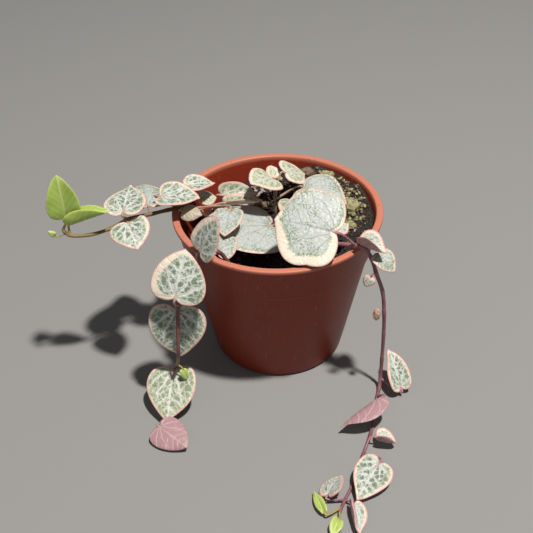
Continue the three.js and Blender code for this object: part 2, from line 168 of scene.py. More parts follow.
def floor(x, y, z=None):
    height = stemRadius + floorGap if z is None else z * mm
    return lambda crossing: crossing + Vector((x * mm, y * mm, height))


# Each vine crosses the rim at so many degrees round it and follows its route. A leaf goes from its
# notch to its tip; its breadth is a share of that length, its upper side looks the way of its face,
# its halves fold and its midrib curls by so many degrees, and its stalk joins the stem at the
# numbered point of the route or ends at a foot of its own.
vines = {
    "runner": {
        "crossing": 184,
        "route": [
            ground(-0.464, 0.147, -5.6),
            mouth(-0.698, 0.084, -4.6),
            mouth(-0.851, 0.004, 0.4),
            rim(-0.8, -0.4, 1.15),
            rim(-5.5, -2.6, 1.3),
            rim(-11.5, -5, 1.4),
            rim(-15.5, -9.2, 1.4),
            rim(-21, -12.1, 1.3),
            rim(-26.3, -12.8, 1.7),
            rim(-28, -12.6, 3.2),
        ],
        "leaves": {
            "upright_leaf": dict(
                node=9, notch=rim(-26.6, -11.8, 8), tip=rim(-27.4, -10.8, 19.6),
                breadth=0.81, face=(0.15, -0.9, 0.4), fold=18,
            ),
            "folded_leaf": dict(
                node=8, notch=rim(-25.1, -12.2, 5.4), tip=rim(-14.9, -12.2, 10.2),
                breadth=0.71, face=(-0.3, 0.35, 0.9), fold=62, curl=-10,
            ),
            "leaf_1": dict(
                node=6, notch=rim(-10.7, -9.8, 3.1), tip=rim(-7.4, -18, 1.1),
                breadth=1.26, face=(-0.1, -0.35, 0.93), fold=8, curl=-12,
            ),
            "leaf_2": dict(
                node=5, notch=rim(-12, -8, 5.8), tip=rim(-11.4, 4.2, 6.4),
                breadth=0.98, face=(-0.05, -0.25, 0.96), fold=6,
            ),
            "leaf_3": dict(
                node=4, notch=rim(-6.4, -0.4, 2.9), tip=rim(-9.2, 10.2, 3.3),
                breadth=1.06, face=(0.05, -0.2, 0.97), fold=0,
            ),
            "leaf_4": dict(
                foot=mouth(-0.931, -0.036, 0.8),
                notch=rim(-2.2, -0.4, 5.7), tip=mouth(-0.701, -0.123, 5.7),
                breadth=0.99, face=(0, -0.05, 1), fold=16,
            ),
            "leaf_5": dict(
                node=2, notch=mouth(-0.854, 0.164, 4.4), tip=mouth(-0.598, 0.237, 3.8),
                breadth=1, face=(0, -0.1, 1), fold=18,
            ),
            "leaf_6": dict(
                node=1, notch=ground(-0.731, 0.21, 6.5), tip=ground(-0.591, 0.257, 5.7),
                breadth=1.33, face=(0.1, -0.3, 0.95), fold=5,
            ),
            "leaf_7": dict(
                node=2, notch=mouth(-0.864, -0.156, 2.1), tip=mouth(-0.698, -0.203, 1.6),
                breadth=1.05, face=(0, 0.45, -0.9), fold=10,
            ),
            "leaf_8": dict(
                foot=ground(-0.648, 0.38, -4.8),
                notch=ground(-0.531, 0.337, 5.1), tip=ground(-0.188, 0.35, 5.2),
                breadth=0.82, face=(0, -0.25, 1), fold=60,
            ),
            "leaf_9": dict(
                foot=ground(-0.764, 0.047, 5.7),
                notch=ground(-0.478, 0.144, 6.3), tip=ground(-0.138, 0.19, 6.2),
                breadth=0.49, face=(0, -0.2, 1), fold=66,
            ),
            "leaf_10": dict(
                foot=mouth(-0.811, 0.02, -0.4),
                notch=mouth(-0.448, -0.123, 1.3), tip=mouth(-0.484, -0.463, 0),
                breadth=0.83, face=(0, -0.35, 0.94), fold=6,
            ),
            "bud": dict(
                foot=rim(-27.2, -12.7, 2.3),
                notch=rim(-30.3, -13.2, 2.2), tip=rim(-31.8, -13.4, 3.6),
                breadth=0.87, face=(0, -0.9, 0.3), fold=20,
            ),
        },
    },

    "front_vine": {
        "crossing": 227,
        "route": [
            ground(-0.332, -0.678, -5.6),
            mouth(-0.429, -0.705, -4.4),
            mouth(-0.529, -0.711, 0.4),
            rim(-0.3, -0.4, 1.15),
            rim(-1.4, -1.4, -2),
            rim(-2.9, -2.4, -6),
            rim(-6.4, -5.2, -13),
            rim(-7, -7.3, -20.1),
            rim(-7.4, -8.9, -27.8),
            floor(-8.4, -6.4, 14),
            floor(-9.4, -2.4, 9.6),
            floor(-9.7, -1, 6),
            floor(-9.8, -0.9, 3),
            floor(-9.7, -2.4, 1.1),
            floor(-9.6, -5.4),
            floor(-9.4, -11),
            floor(-9.4, -18.8),
        ],
        "leaves": {
            "leaf_1": dict(
                node=6, notch=rim(-6.7, -7.8, -7.9), tip=rim(-3.9, -0.3, 2.3),
                breadth=1.19, face=(-0.12, -0.79, 0.6), fold=-5,
            ),
            "leaf_2": dict(
                node=6, notch=rim(-7.5, -3.6, -16.3), tip=rim(-7.4, -7, -30.7),
                breadth=1.07, face=(0, -0.96, 0.25), fold=5,
            ),
            "leaf_3": dict(
                node=9, notch=floor(-10, -5, 9.4), tip=floor(-11.2, -17.4, 2.4),
                breadth=1.02, face=(-0.05, -0.5, 0.86), fold=5,
            ),
            "leaf_4": dict(
                node=16, notch=floor(-12.8, -20.4, 3.2), tip=floor(-4.8, -26.8, 2),
                breadth=0.93, face=(0.15, 0.3, -0.93), fold=6,
            ),
            "leaf_5": dict(
                node=3, notch=rim(0.4, -1.8, 3), tip=rim(5.7, -2, 13.4),
                breadth=0.92, face=(-0.73, -0.58, 0.36), fold=6,
            ),
            "leaf_6": dict(
                node=1, notch=mouth(-0.542, -0.558, -3.2), tip=mouth(-0.382, -0.351, -2.6),
                breadth=0.89, face=(0.3, -0.45, 0.85), fold=12,
            ),
            "bud": dict(
                node=9, notch=floor(-6.8, -7.4, 12.6), tip=floor(-6, -8, 9.2),
                breadth=0.68, face=(0.3, -0.9, 0.3), fold=20,
            ),
        },
    },

    "side_vine": {
        "crossing": 317,
        "route": [
            ground(0.215, -0.249, -4.4),
            mouth(0.381, -0.465, -3),
            mouth(0.571, -0.649, 1),
            mouth(0.685, -0.689, 1.4),
            rim(0.8, -0.9, 1.3),
            rim(2.8, -2, -1.5),
            rim(4.4, -2.3, -6.5),
            rim(6.4, -2.6, -12.5),
            rim(7.3, -2.8, -20),
            rim(7.7, -2.8, -28),
            floor(7.8, -3, 10),
            floor(7.7, -3.7, 3.4),
            floor(7.4, -5.4, 1.2),
            floor(6.6, -8.4),
            floor(5, -16),
            floor(3.2, -23),
            floor(0.6, -30),
            floor(-3, -40),
            floor(-5.4, -45),
            floor(-7, -48.8),
        ],
        "leaves": {
            "leaf_1": dict(
                node=3, notch=mouth(0.485, -0.735, 6.8), tip=mouth(-0.029, -0.589, 8.2),
                breadth=1.31, face=(-0.1, -0.6, 0.79), fold=0,
            ),
            "leaf_2": dict(
                node=4, notch=rim(-0.1, -1.0, 3.2), tip=rim(6.3, -4.3, 2.0),
                breadth=1.2, face=(0.1, 0.15, 0.98), fold=58,
            ),
            "leaf_3": dict(
                node=5, notch=rim(4.7, -1.2, -1.2), tip=rim(8.9, -4.6, -4.4),
                breadth=1.15, face=(0.35, -0.4, 0.85), fold=14,
            ),
            "leaf_4": dict(
                node=6, notch=rim(2.6, -5, -5.6), tip=rim(1.2, -5.5, -8.4),
                breadth=1.07, face=(0, -0.8, 0.6), fold=10,
            ),
            "leaf_5": dict(
                node=11, notch=floor(13.2, -6.6, 2.8), tip=floor(10.2, 1.4, 10.2),
                breadth=0.74, face=(0.4, -0.72, 0.57), fold=30,
            ),
            "leaf_6": dict(
                node=13, notch=floor(5.8, -15.4, 6.6), tip=floor(-5.2, -22.4, 3.4),
                breadth=0.74, face=(-0.2, -0.72, -0.66), fold=42,
            ),
            "leaf_7": dict(
                node=16, notch=floor(4.8, -26.4, 3.2), tip=floor(10, -27.2, 2.4),
                breadth=1.24, face=(0, 0.3, 1), fold=55,
            ),
            "leaf_8": dict(
                node=16, notch=floor(4.2, -35, 2.6), tip=floor(-2.4, -45.8, 2.2),
                breadth=0.82, face=(0.1, -0.2, 0.97), fold=12,
            ),
            "leaf_9": dict(
                node=18, notch=floor(-9.6, -44.2, 2.2), tip=floor(-5.8, -38.6, 3.2),
                breadth=1.17, face=(-0.2, 0.6, 0.75), fold=10,
            ),
            "leaf_10": dict(
                node=18, notch=floor(-3.4, -47.4, 1.9), tip=floor(-2.4, -56, 1.6),
                breadth=0.74, face=(0.6, 0, 0.8), fold=46,
            ),
            "young_leaf_1": dict(
                node=19, notch=floor(-7.6, -51.8, 1.6), tip=floor(-9.6, -56.4, 1.2),
                breadth=0.72, face=(0.2, 0, 1), fold=30,
            ),
            "young_leaf_2": dict(
                foot=floor(-6.4, -47.2),
                notch=floor(-11, -48.6, 1.4), tip=floor(-13.4, -42.6, 1.4),
                breadth=0.46, face=(-0.3, -0.2, 0.9), fold=35,
            ),
        },
    },

    "crown_vine": {
        "crossing": None,
        "route": [
            ground(0.053, 0.08, -3.8),
            ground(0.007, 0.12, 1.5),
            ground(-0.02, 0.207, 6),
            ground(-0.02, 0.273, 9.5),
        ],
        "leaves": {
            "leaf_1": dict(
                node=1, notch=ground(-0.09, -0.04, 1.9), tip=ground(-0.76, -0.235, 4.2),
                breadth=1.2, face=(0.03, 0.02, 1), fold=-4, curl=6,
            ),
            "leaf_2": dict(
                node=3, notch=ground(-0.053, 0.258, 12), tip=ground(-0.248, 0.038, 14.7),
                breadth=1.15, face=(0.39, 0.03, 0.92), fold=4,
            ),
            "leaf_3": dict(
                foot=ground(-0.02, 0.487, -0.5),
                notch=ground(-0.038, 0.38, 10.2), tip=ground(-0.07, 0.525, 11.8),
                breadth=1.05, face=(0.3, -0.35, 0.87), fold=30,
            ),
            "leaf_4": dict(
                node=2, notch=ground(0.085, 0.358, 12.1), tip=ground(0.278, 0.512, 8.6),
                breadth=1.23, face=(0.54, -0.03, 0.84), fold=6,
            ),
            "leaf_5": dict(
                node=2, notch=ground(0.27, 0.24, 9), tip=ground(0.66, -0.005, 8.4),
                breadth=1.1, face=(-0.09, -0.22, 0.97), fold=-4,
            ),
            "leaf_6": dict(
                node=1, notch=ground(0.153, 0.213, 4.6), tip=ground(0.087, -0.047, 4.1),
                breadth=0.99, face=(0.1, -0.2, 0.97), fold=10,
            ),
            "leaf_7": dict(
                foot=ground(0.463, -0.36, -1.8),
                notch=ground(0.54, -0.44, 8.6), tip=ground(0.65, -0.35, 8.6),
                breadth=1.14, face=(0.1, -0.3, 0.95), fold=5,
            ),
        },
    },
}


# What each leaf shows: cream margin in mm and how far it leans to one half, share of silver, pink
# blush, how olive its green is, how purple its underside is, and how blunt its tip.
leafLooks = {
    "marbled": dict(cream=0.75, lean=0.2, silver=0.04, blush=0.6, olive=0.15, purple=0.4),
    "edged": dict(cream=1.3, lean=0.7, silver=0.1, blush=0.6, olive=0.15, purple=0.4),
    "wide": dict(cream=1.5, lean=0.8, silver=1, blush=0.3, olive=0.15, purple=0.3, blunt=0.45),
    "silver": dict(cream=0.45, lean=0, silver=1, blush=0.4, olive=0.1, purple=0.3),
    "green": dict(cream=0.5, lean=0, silver=0, blush=0.6, olive=0.5, purple=0.4),
    "light": dict(cream=0.9, lean=0, silver=0.1, blush=0.4, olive=0.85, purple=0.2),
    "pink": dict(cream=0.8, lean=0.3, silver=0.2, blush=0.9, olive=0.1, purple=0.9),
    "lime": dict(cream=0, lean=0, silver=0, blush=0, olive=1, purple=0),
}
lookOf = {
    "runner_upright_leaf": "lime",
    "runner_folded_leaf": "lime",
    "runner_leaf_3": "silver",
    "runner_leaf_6": "green",
    "runner_leaf_7": "light",
    "runner_leaf_8": "green",
    "runner_leaf_9": "green",
    "runner_leaf_10": "silver",
    "runner_bud": "lime",
    "front_vine_leaf_1": "edged",
    "front_vine_leaf_3": "green",
    "front_vine_leaf_4": "pink",
    "front_vine_leaf_5": "edged",
    "front_vine_leaf_6": "silver",
    "front_vine_bud": "lime",
    "side_vine_leaf_1": "wide",
    "side_vine_leaf_2": "pink",
    "side_vine_leaf_3": "silver",
    "side_vine_leaf_6": "pink",
    "side_vine_leaf_7": "pink",
    "side_vine_leaf_9": "pink",
    "side_vine_leaf_10": "pink",
    "side_vine_young_leaf_1": "lime",
    "side_vine_young_leaf_2": "lime",
    "crown_vine_leaf_1": "silver",
    "crown_vine_leaf_2": "light",
    "crown_vine_leaf_3": "light",
    "crown_vine_leaf_4": "light",
    "crown_vine_leaf_5": "silver",
    "crown_vine_leaf_6": "green",
}

blade = {
    "thickness": 1.2,
    "middle": 0.35,  # the rings shrink towards this point of the midrib
    "crease": 0.18,  # half of the strip that folds, as a share of the width
    "segments": 96,
    "rings": 22,
    "wave": 0.22,  # swing of the margin
    "groove": 0.14,  # depth of the furrow over the midrib
    "stalkRadius": 0.4,
    "stalkSides": 10,
}
# Half outline of a heart from the tip to the notch, as shares of its length and of its width.
heartEdge = [
    (1, 0), (0.94, 0.07), (0.84, 0.19), (0.65, 0.36), (0.42, 0.475), (0.2, 0.5),
    (0, 0.44), (-0.11, 0.31), (-0.13, 0.15), (-0.07, 0.04), (0, 0),
]


def heartPoint(share):
    at = share * (len(heartEdge) - 1)
    first = min(int(at), len(heartEdge) - 2)
    t = at - first
    around = [heartEdge[min(max(first + i, 0), len(heartEdge) - 1)] for i in (-1, 0, 1, 2)]
    point = []
    for p0, p1, p2, p3 in zip(*around):
        m1, m2 = (p2 - p0) / 2, (p3 - p1) / 2
        point.append(p1 + m1 * t + (3 * (p2 - p1) - 2 * m1 - m2) * t**2 + (2 * (p1 - p2) + m1 + m2) * t**3)
    return point


# A sphere pressed into a lens with a heart-shaped edge, then folded and curled like a sheet.
def growBlade(bm, layers, stand, length, width, leaf, look, seed):
    foldAngle = math.radians(leaf.get("fold", 0)) or 1e-6
    curlAngle = math.radians(leaf.get("curl", 0)) or 1e-6
    crease = width * blade["crease"]
    draw = random.Random(seed)
    swing = blade["wave"] * min(1, length / 12)
    phase = [draw.uniform(0, 2 * math.pi) for _ in range(3)]
    sphere = bmesh.ops.create_uvsphere(bm, u_segments=blade["segments"], v_segments=blade["rings"], radius=1)
    for vert in sphere["verts"]:
        x, y, lift = vert.co
        reach = min(math.hypot(x, y), 1)
        azimuth = math.atan2(y, x)
        edgeAlong, edgeAcross = heartPoint(min(abs(azimuth) / math.pi, 1))
        edgeAcross *= 1 + look.get("blunt", 0) * min(max((edgeAlong - 0.3) / 0.5, 0), 1)
        uneven = 1 + 0.025 * math.sin(2 * azimuth + phase[0]) + 0.02 * math.sin(5 * azimuth + phase[1])
        along = length * (blade["middle"] + (edgeAlong - blade["middle"]) * reach * uneven)
        across = width * abs(edgeAcross) * reach * uneven
        margin = math.hypot(length * (edgeAlong - blade["middle"]), width * edgeAcross) * (1 - reach)
        wave = swing * reach**3 * (math.sin(3 * azimuth + phase[2]) + 0.5 * math.sin(7 * azimuth + phase[0]))
        furrow = blade["groove"] * math.exp(-((across / 0.5) ** 2)) * max(0, 1 - along / length)
        height = lift * blade["thickness"] / 2 + wave - furrow * (lift > 0)
        bend = foldAngle * min(across, crease) / crease
        beyond = max(across - crease, 0)
        bendRadius = crease / foldAngle
        side = bendRadius * math.sin(bend) + beyond * math.cos(foldAngle) - height * math.sin(bend)
        up = bendRadius * (1 - math.cos(bend)) + beyond * math.sin(foldAngle) + height * math.cos(bend)
        turn = curlAngle * along / length
        curlRadius = length / curlAngle
        sign = math.copysign(1, y) if across > 1e-6 else 0
        vert.co = stand @ (
            Vector(
                (
                    (curlRadius - up) * math.sin(turn),
                    sign * side,
                    curlRadius - (curlRadius - up) * math.cos(turn),
                )
            )
            * mm
        )
        vert[layers["plane"]] = (along, sign * across, seed * 7.0)
        vert[layers["size"]] = (length, width, margin)
        vert[layers["under"]] = min(max(0.5 - lift * 2, 0), 1)
        vert[layers["marking"]] = (look["cream"], look["lean"], look["silver"])
        vert[layers["colour"]] = (look["blush"], look["olive"], look["purple"])


def growLeaf(vineName, leafName, leaf, crossing, nodes, seed, materials):
    name = f"{vineName}_{leafName}"
    look = leafLooks[lookOf.get(name, "marbled")]
    notch, tip = leaf["notch"](crossing), leaf["tip"](crossing)
    forward = (tip - notch).normalized()
    length = (tip - notch).length / mm
    face = Vector(leaf["face"])
    up = (face - forward * face.dot(forward)).normalized()
    stand = Matrix((forward, up.cross(forward), up)).transposed().to_4x4()
    stand.translation = notch
    bm = bmesh.new()
    layers = {
        "plane": bm.verts.layers.float_vector.new("leafPlane"),
        "size": bm.verts.layers.float_vector.new("leafSize"),
        "marking": bm.verts.layers.float_vector.new("leafMarking"),
        "colour": bm.verts.layers.float_vector.new("leafColour"),
        "under": bm.verts.layers.float.new("underside"),
        "way": bm.verts.layers.float.new("wayAlong"),
    }
    growBlade(bm, layers, stand, length, length * leaf["breadth"], leaf, look, seed)
    bladeFaces = len(bm.faces)
    foot = leaf["foot"](crossing) if "foot" in leaf else nodes[leaf["node"]]
    bow = notch - forward * min((foot - notch).length * 0.3, 2 * mm)
    places = smoothCurve([notch + forward * length * mm * 0.12, notch, bow, foot], 18)
    thick = blade["stalkRadius"] * mm * min(1, 0.55 + length / 25)
    radii = [thick * (0.75 + 0.25 * math.cos(math.pi * i / 9) ** 2) for i in range(19)]
    sweepTube(bm, places, radii, blade["stalkSides"], layers["way"])
    for face in list(bm.faces)[bladeFaces:]:
        face.material_index = 1
    return makePiece(name, bm, materials, [name])


stem = {
    "sides": 12,
    "stepsPerSpan": 6,
    "swelling": 0.144,  # of the radius, at each joint
    "swellingReach": 1.1,  # mm along the stem
    "slim": 0.86,  # share of the solid's radius
    "thin": 0.72,  # share of that left at the free end
}


def growStem(name, nodes, material, seed):
    places = smoothCurve(nodes, stem["stepsPerSpan"] * (len(nodes) - 1))
    radii = []
    for i, place in enumerate(places):
        near = min((place - node).length for node in nodes) / (stem["swellingReach"] * mm)
        taper = 1 - (1 - stem["thin"]) * (i / (len(places) - 1)) ** 2
        uneven = 1 + 0.06 * noise.noise(place / mm * 0.9 + Vector((seed, 0, 0)))
        swollen = 1 + stem["swelling"] * math.exp(-near * near)
        radii.append(stemRadius * stem["slim"] * taper * uneven * swollen)
    bm = bmesh.new()
    layer = bm.verts.layers.float.new("wayAlong")
    sweepTube(bm, places, radii, stem["sides"], layer)
    return makePiece(name, bm, [material], [name])


# Variegated leaf: thick waxy skin, silver along a net of veins, grey green between them, a cream and
# pink margin where the green is missing, and a pink or pale underside.
def variegatedLeaf():
    material, add = newMaterial("variegatedLeaf")
    plane = add("Attribute", output=1, attribute_name="leafPlane")
    along, across, _ = add("SeparateXYZ", {0: plane}, output=None)
    length, _, margin = add(
        "SeparateXYZ", {0: add("Attribute", output=1, attribute_name="leafSize")}, output=None
    )
    cream, lean, silver = add(
        "SeparateXYZ", {0: add("Attribute", output=1, attribute_name="leafMarking")}, output=None
    )
    blush, olive, purple = add(
        "SeparateXYZ", {0: add("Attribute", output=1, attribute_name="leafColour")}, output=None
    )
    under = add("Attribute", output=2, attribute_name="underside")
    smooth = dict(interpolation_type="SMOOTHSTEP")

    side = add("Math", {0: across}, operation="ABSOLUTE")
    flat = add("CombineXYZ", {0: along, 1: across, 2: 0.0})
    radius = add("VectorMath", {0: flat}, output=1, operation="LENGTH")
    reach = add("Math", {0: radius, 1: length}, operation="DIVIDE")
    angle = add("Math", {0: side, 1: along}, operation="ARCTAN2")
    drift = add("TexNoise", {"Vector": plane, "Scale": 0.3, "Detail": 2.0}, output=0)

    # main veins fan out from the notch and bend to the tip
    bent = add("Math", {0: add("Math", {0: angle}, operation="SINE"), 1: reach}, operation="MULTIPLY")
    spread = add("Math", {0: bent, 1: 0.75, 2: angle}, operation="MULTIPLY_ADD")
    spread = add("Math", {0: drift, 1: 0.5, 2: spread}, operation="MULTIPLY_ADD")
    spread = add("Math", {0: spread, 1: 0.25}, operation="SUBTRACT")
    fan = add(
        "Math", {0: add("Math", {0: spread, 1: 0.33}, operation="PINGPONG"), 1: radius}, operation="MULTIPLY",
    )
    midrib = add("Math", {0: drift, 1: 0.5, 2: side}, operation="MULTIPLY_ADD")
    midrib = add("Math", {0: midrib, 1: 0.25}, operation="SUBTRACT")
    midrib = add("Math", {0: midrib}, operation="ABSOLUTE")

    # side veins leave the midrib, about a fifth of the length apart
    slope = add("Math", {0: side, 1: -0.75, 2: along}, operation="MULTIPLY_ADD")
    slope = add("Math", {0: drift, 1: 2.5, 2: slope}, operation="MULTIPLY_ADD")
    spacing = add("Math", {0: length, 1: 0.1}, operation="MULTIPLY")
    ribs = add("Math", {0: slope, 1: spacing}, operation="PINGPONG")
    share = add("Math", {0: along, 1: length}, operation="DIVIDE")
    outward = add("MapRange", {0: share, 1: 0.22, 2: 0.4, 3: 3.0, 4: 0.0})
    ribs = add("Math", {0: ribs, 1: outward}, operation="ADD")
    main = add(
        "Math", {0: add("Math", {0: fan, 1: ribs}, operation="MINIMUM"), 1: midrib}, operation="MINIMUM",
    )

    # a net of fine veins, cells about 1.6 mm wide
    shake = add("TexNoise", {"Vector": plane, "Scale": 0.9, "Detail": 3.0}, output=1)
    netPlace = add("VectorMath", {0: shake, 1: (1.1, 1.1, 0.0), 2: plane}, operation="MULTIPLY_ADD")
    net = add("TexVoronoi", {"Vector": netPlace, "Scale": 0.6}, feature="DISTANCE_TO_EDGE")
    fine = add("TexVoronoi", {"Vector": netPlace, "Scale": 1.5}, feature="DISTANCE_TO_EDGE")
    grain = add("TexNoise", {"Vector": plane, "Scale": 1.6, "Detail": 4.0, "Roughness": 0.65})

    mainLine = add("MapRange", {0: main, 1: 0.07, 2: 0.31, 3: 1.0, 4: 0.0}, **smooth)
    mainGlow = add("MapRange", {0: main, 1: 0.1, 2: 1.3, 3: 1.0, 4: 0.0}, **smooth)
    netLine = add("MapRange", {0: net, 1: 0.03, 2: 0.14, 3: 1.0, 4: 0.0}, **smooth)
    netGlow = add("MapRange", {0: net, 1: 0.0, 2: 0.4, 3: 1.0, 4: 0.0}, **smooth)
    fineLine = add("MapRange", {0: fine, 1: 0.0, 2: 0.16, 3: 1.0, 4: 0.0}, **smooth)

    # silver gathers along the veins; where there is little of it, green islands stay between them
    pale = add("Math", {0: mainGlow, 1: 0.45, 2: silver}, operation="MULTIPLY_ADD")
    pale = add("Math", {0: netGlow, 1: 0.35, 2: pale}, operation="MULTIPLY_ADD")
    pale = add("Math", {0: fineLine, 1: 0.18, 2: pale}, operation="MULTIPLY_ADD")
    pale = add("Math", {0: grain, 1: 1.1, 2: pale}, operation="MULTIPLY_ADD")
    silvering = add("MapRange", {0: pale, 1: 1.12, 2: 1.4}, **smooth)
    islands = add("Mix", {0: olive, 6: "#80907f", 7: "#b0b590"}, **inColour)
    deep = add("Mix", {0: olive, 6: "#63756a", 7: "#98a374"}, **inColour)
    greens = add("Mix", {0: add("MapRange", {0: grain, 1: 0.4, 2: 0.62}), 6: deep, 7: islands}, **inColour)
    colour = add("Mix", {0: silvering, 6: greens, 7: "#c3c8c6"}, **inColour)
    lines = add("Math", {0: netLine, 1: 0.6}, operation="MULTIPLY")
    lines = add("Math", {0: mainLine, 1: lines}, operation="MAXIMUM")
    lines = add("Math", {0: lines, 1: 0.8}, operation="MULTIPLY")
    paleVein = add("Mix", {0: olive, 6: "#e2e5de", 7: "#dcddbd"}, **inColour)
    frosted = add("MapRange", {0: silver, 1: 0.7, 2: 0.9})
    veined = add(
        "Mix", {0: lines, 6: colour, 7: add("Mix", {0: frosted, 6: paleVein, 7: "#aab0a7"}, **inColour)},
        **inColour,
    )

    # the margin: greener, then cream, then pink at the very edge, with a ragged border
    half = add("MapRange", {0: across, 1: -4.0, 2: 4.0, 3: -1.0, 4: 1.0})
    leaning = add("Math", {0: half, 1: lean, 2: 1.0}, operation="MULTIPLY_ADD")
    creamWidth = add("Math", {0: cream, 1: leaning}, operation="MULTIPLY")
    ragged = add("Math", {0: grain, 1: 0.5}, operation="SUBTRACT")
    ragged = add("Math", {0: ragged, 1: 3.2, 2: margin}, operation="MULTIPLY_ADD")
    border = add("Math", {0: ragged, 1: creamWidth}, operation="SUBTRACT")
    creamy = add("MapRange", {0: border, 1: -0.35, 2: 0.35, 3: 1.0, 4: 0.0}, **smooth)
    greener = add("MapRange", {0: border, 1: 0.2, 2: 1.6, 3: 0.4, 4: 0.0}, **smooth)
    veined = add(
        "Mix", {0: greener, 6: veined, 7: add("Mix", {0: olive, 6: "#8fa182", 7: "#a9b27a"}, **inColour)},
        **inColour,
    )

    # dark green flecks in clumps, more of them towards the margin
    clumps = add("TexNoise", {"Vector": plane, "Scale": 0.33, "Detail": 1.0})
    flecks = add("TexNoise", {"Vector": plane, "Scale": 2.0, "Detail": 1.5, "Roughness": 0.4})
    flecks = add("Math", {0: clumps, 1: 0.5, 2: flecks}, operation="MULTIPLY_ADD")
    nearMargin = add("MapRange", {0: border, 1: 0.4, 2: 4.0, 3: 0.1, 4: 0.0})
    flecks = add("Math", {0: flecks, 1: nearMargin}, operation="ADD")
    flecked = add("MapRange", {0: flecks, 1: 0.86, 2: 0.94, 3: 0.0, 4: 0.8}, **smooth)
    fleckShare = add("Math", {0: frosted, 1: 0.75, 2: 0.25}, operation="MULTIPLY_ADD")
    flecked = add("Math", {0: flecked, 1: fleckShare}, operation="MULTIPLY")
    veined = add(
        "Mix", {0: flecked, 6: veined, 7: add("Mix", {0: olive, 6: "#71896a", 7: "#8b9a60"}, **inColour)},
        **inColour,
    )
    creams = add(
        "Mix", {0: add("Math", {0: blush, 1: grain}, operation="MULTIPLY"), 6: "#ece5d2", 7: "#ecccc0"},
        **inColour,
    )
    upper = add("Mix", {0: creamy, 6: veined, 7: creams}, **inColour)
    edge = add("MapRange", {0: margin, 1: 0.1, 2: 0.55, 3: 1.0, 4: 0.0}, **smooth)
    edge = add("Math", {0: edge, 1: add("Math", {0: blush, 1: 0.35}, operation="ADD")}, operation="MULTIPLY")
    upper = add("Mix", {0: edge, 6: upper, 7: "#dba8a4"}, **inColour)

    # underside: paler, without the silver net
    beneath = add("Mix", {0: purple, 6: "#b9b595", 7: "#a9808a"}, **inColour)
    cloudy = add("Math", {0: grain, 1: 0.6}, operation="MULTIPLY")
    beneath = add(
        "Mix", {0: cloudy, 6: beneath, 7: add("Mix", {0: purple, 6: "#8c956a", 7: "#c99ba6"}, **inColour)},
        **inColour,
    )
    beneath = add(
        "Mix", {0: add("Math", {0: mainLine, 1: 0.4}, operation="MULTIPLY"), 6: beneath, 7: "#d9c3bd"},
        **inColour,
    )
    lower = add("MapRange", {0: under, 1: 0.45, 2: 0.8}, **smooth)
    skin = add("Mix", {0: lower, 6: upper, 7: beneath}, **inColour)

    relief = add("Math", {0: mainLine, 1: -0.6}, operation="MULTIPLY")
    relief = add("Math", {0: netGlow, 1: -0.5, 2: relief}, operation="MULTIPLY_ADD")
    relief = add("Math", {0: grain, 1: 0.35, 2: relief}, operation="MULTIPLY_ADD")
    bump = add("Bump", {"Strength": 0.5, "Distance": 0.00022, "Height": relief})
    gloss = add("MapRange", {0: grain, 3: 0.36, 4: 0.5})
    return finishMaterial(
        material,
        add,
        {
            "Base Color": skin,
            "Roughness": gloss,
            "IOR": 1.45,
            "Subsurface Weight": 0.12,
            "Subsurface Radius": (1.0, 1.0, 0.5),
            "Subsurface Scale": 0.0008,
            "Normal": bump,
        },
    )


# Young leaf: still soft and lime green, with a paler midrib and side veins.
def youngLeaf():
    material, add = newMaterial("youngLeaf")
    plane = add("Attribute", output=1, attribute_name="leafPlane")
    along, across, _ = add("SeparateXYZ", {0: plane}, output=None)
    length, _, margin = add(
        "SeparateXYZ", {0: add("Attribute", output=1, attribute_name="leafSize")}, output=None
    )
    side = add("Math", {0: across}, operation="ABSOLUTE")
    drift = add("TexNoise", {"Vector": plane, "Scale": 0.35, "Detail": 3.0})
    slope = add("Math", {0: side, 1: -1.1, 2: along}, operation="MULTIPLY_ADD")
    slope = add("Math", {0: drift, 1: 1.6, 2: slope}, operation="MULTIPLY_ADD")
    ribs = add(
        "Math", {0: slope, 1: add("Math", {0: length, 1: 0.09}, operation="MULTIPLY")}, operation="PINGPONG",
    )
    ribLine = add("MapRange", {0: ribs, 1: 0.05, 2: 0.45, 3: 0.22, 4: 0.0})
    midLine = add("MapRange", {0: side, 1: 0.1, 2: 0.45, 3: 0.6, 4: 0.0})
    lines = add("Math", {0: ribLine, 1: midLine}, operation="MAXIMUM")
    greens = add("Mix", {0: drift, 6: "#94b445", 7: "#bdd36e"}, **inColour)
    colour = add("Mix", {0: lines, 6: greens, 7: "#dbe5a0"}, **inColour)
    rimmed = add("MapRange", {0: margin, 1: 0.1, 2: 0.5, 3: 0.6, 4: 0.0})
    colour = add("Mix", {0: rimmed, 6: colour, 7: "#cfd08a"}, **inColour)
    bump = add("Bump", {"Strength": 0.4, "Distance": 0.0002, "Height": lines})
    return finishMaterial(
        material,
        add,
        {
            "Base Color": colour,
            "Roughness": 0.38,
            "IOR": 1.45,
            "Subsurface Weight": 0.2,
            "Subsurface Radius": (0.8, 1.0, 0.3),
            "Subsurface Scale": 0.001,
            "Normal": bump,
        },
    )


